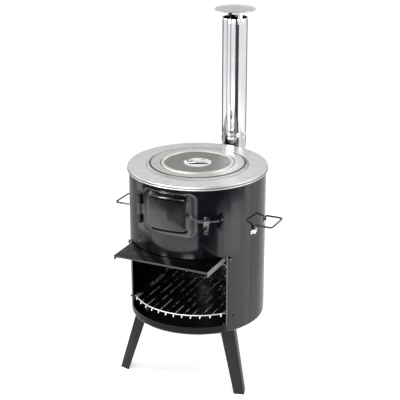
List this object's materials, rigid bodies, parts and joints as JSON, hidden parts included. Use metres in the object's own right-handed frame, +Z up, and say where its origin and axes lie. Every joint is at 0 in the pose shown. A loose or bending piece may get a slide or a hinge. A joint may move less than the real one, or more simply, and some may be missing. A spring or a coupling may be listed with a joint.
{
  "type": "camping chimney stove",
  "caption": "Enamelled drum wood stove on three splayed legs, with a fire door, a lower compartment with a flap and grill rack, a ringed cooking top and a capped chimney behind.",
  "frame": {"origin": "on the ground, under the middle of the whole stove's length and width", "axes": "+Z up, -Y to the front with the fire door, +X to the viewer's right"},
  "size_m": [0.459, 0.52, 0.962],
  "materials": {
    "enamel": "gloss black enamel",
    "charcoal": "satin charcoal",
    "zinc": "zinc coated, satin",
    "ring": "zinc coated, warm",
    "lid": "satin, warm grey",
    "chrome": "bright chrome",
    "polished": "mirror-polished stainless",
    "cap": "satin, warm grey",
    "iron": "raw casting",
    "grip": "gloss black",
    "bolts": "zinc plated"
  },
  "bodies": {
    "stove": {"body_shell": "enamel", "bottom_pan": "enamel", "leg_left": "charcoal", "leg_right": "charcoal", "leg_rear": "charcoal", "leg_bolts": "bolts", "leg_nuts": "bolts", "firebox_floor": "enamel", "top_plate": "zinc", "hinge_leaf": "enamel", "hinge_rivets": "charcoal", "hinge_pin": "charcoal", "latch_keeper": "bolts", "keeper_rivets": "bolts", "flap_screws": "bolts", "rack_brackets": "bolts", "bracket_rivets": "charcoal", "handle_left": "chrome", "handle_right": "chrome", "handle_clips": "bolts", "clip_rivets": "bolts", "flue_collar": "zinc", "collar_rivets": "bolts"},
    "fire_door": {"fire_door": "enamel", "latch_rivet": "bolts"},
    "latch": {"latch_lever": "charcoal", "lever_grip": "grip", "grip_rivet": "bolts"},
    "flap": {"flap_door": "enamel"},
    "rack": {"grill_rack": "chrome"},
    "ring": {"cooking_ring": "ring"},
    "lid": {"lid": "lid", "lift_bar": "chrome"},
    "grate": {"fire_grate": "iron"},
    "elbow": {"flue_elbow": "polished"},
    "chimney": {"flue_pipe": "polished", "rain_cap": "cap", "cap_straps": "chrome", "cap_rivets": "bolts"}
  },
  "joints": [
    {"name": "fire_door_hinge", "type": "hinge", "parent": "stove", "child": "fire_door", "pos_m": [-0.08879, -0.19901, 0.505], "axis": [0, 0, -1], "range_deg": [0, 120]},
    {"name": "latch_lift", "type": "hinge", "parent": "fire_door", "child": "latch", "pos_m": [0.06593, -0.2116, 0.5095], "axis": [0.3498, -0.9368, 0], "range_deg": [0, 32]},
    {"name": "flap_swing", "type": "hinge", "parent": "stove", "child": "flap", "pos_m": [0, -0.14699, 0.3845], "axis": [1, 0, 0], "range_deg": [0, 90]},
    {"name": "rack_slide", "type": "slide", "parent": "stove", "child": "rack", "axis": [0, -1, 0], "range_m": [0, 0.2]},
    {"name": "ring_lift", "type": "slide", "parent": "stove", "child": "ring", "axis": [0, 0, 1], "range_m": [0, 0.12]},
    {"name": "lid_lift", "type": "slide", "parent": "ring", "child": "lid", "axis": [0, 0, 1], "range_m": [0, 0.12]},
    {"name": "grate_lift", "type": "slide", "parent": "stove", "child": "grate", "axis": [0, 0, 1], "range_m": [0, 0.12]},
    {"name": "elbow_pull", "type": "slide", "parent": "stove", "child": "elbow", "axis": [0, 1, 0], "range_m": [0, 0.04]},
    {"name": "pipe_lift", "type": "slide", "parent": "elbow", "child": "chimney", "axis": [0, 0, 1], "range_m": [0, 0.06]}
  ]
}
